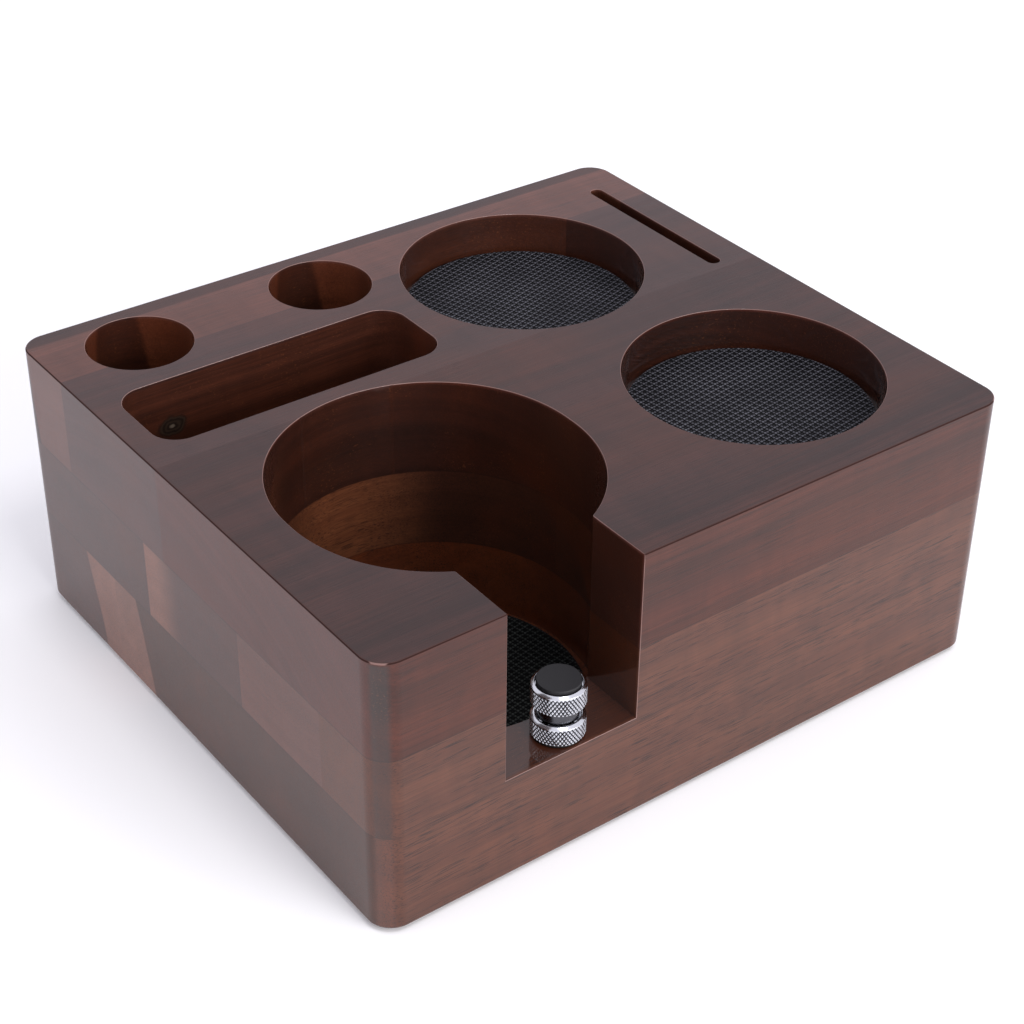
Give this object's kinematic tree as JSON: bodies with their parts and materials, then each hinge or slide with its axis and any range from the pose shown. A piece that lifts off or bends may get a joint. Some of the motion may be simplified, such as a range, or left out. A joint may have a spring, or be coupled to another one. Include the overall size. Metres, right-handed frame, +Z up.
{
  "type": "espresso tamping station",
  "caption": "Wooden tamping block with a deep notched well, height-adjustable handle post, matted pockets, tool tray, brush holes and a screen slot.",
  "frame": {"origin": "centre of the block's footprint, on the surface that the rubber feet stand on", "axes": "+X to the right along the notched face, +Y from the notched face towards the back, +Z up out of the pockets"},
  "size_m": [0.2, 0.177, 0.0827],
  "materials": {
    "wood_dark": "satin lacquer",
    "wood_rosy": "satin lacquer",
    "wood_brown": "satin lacquer",
    "wood_warm": "satin lacquer",
    "mat_rubber": "fine woven relief, matt",
    "foot_rubber": "matt",
    "brass": "machined",
    "nylon": "matt",
    "chrome": "bright, diamond knurled",
    "black_steel": "polished, black oxide",
    "steel": "bright zinc",
    "pad_rubber": "smooth, satin"
  },
  "bodies": {
    "block": {"top_rear_board": "wood_rosy", "top_tray_board": "wood_dark", "top_left_board": "wood_dark", "top_right_board": "wood_dark", "middle_rear_board": "wood_brown", "middle_centre_board": "wood_warm", "middle_left_board": "wood_rosy", "middle_right_board": "wood_rosy", "middle_edge_board": "wood_warm", "bottom_rear_board": "wood_brown", "bottom_front_board": "wood_warm", "foot_front_left": "foot_rubber", "foot_front_right": "foot_rubber", "foot_rear_left": "foot_rubber", "foot_rear_right": "foot_rubber", "threaded_insert": "brass"},
    "neck": {"neck_sleeve": "black_steel"},
    "cap": {"knurled_cap": "chrome", "stud": "steel", "cap_pad": "pad_rubber"},
    "washer": {"lock_washer": "nylon"},
    "ring": {"lock_ring": "chrome"},
    "well_mat": {"well_mat": "mat_rubber"},
    "rear_pocket_mat": {"rear_pocket_mat": "mat_rubber"},
    "front_pocket_mat": {"front_pocket_mat": "mat_rubber"}
  },
  "joints": [
    {"name": "post_travel", "type": "slide", "parent": "block", "child": "neck", "axis": [0, 0, 1], "range_m": [-0.0026, 0.0061]},
    {"name": "cap_turn", "type": "hinge", "parent": "neck", "child": "cap", "pos_m": [-0.0428, -0.081, 0.0457], "axis": [0, 0, 1], "range_deg": [-900, 2160]},
    {"name": "ring_travel", "type": "slide", "parent": "block", "child": "washer", "axis": [0, 0, 1], "range_m": [0, 0.0023]},
    {"name": "ring_turn", "type": "hinge", "parent": "washer", "child": "ring", "pos_m": [-0.0428, -0.081, 0.0362], "axis": [0, 0, 1], "range_deg": [0, 792]},
    {"name": "well_mat_lift", "type": "slide", "parent": "block", "child": "well_mat", "axis": [0, 0, 1], "range_m": [0, 0.08]},
    {"name": "rear_mat_lift", "type": "slide", "parent": "block", "child": "rear_pocket_mat", "axis": [0, 0, 1], "range_m": [0, 0.02]},
    {"name": "front_mat_lift", "type": "slide", "parent": "block", "child": "front_pocket_mat", "axis": [0, 0, 1], "range_m": [0, 0.02]}
  ],
  "couplings": [
    {"joint": "post_travel", "follows": "cap_turn", "m_per_rad": 0.00015915},
    {"joint": "ring_travel", "follows": "ring_turn", "m_per_rad": 0.00015915}
  ]
}
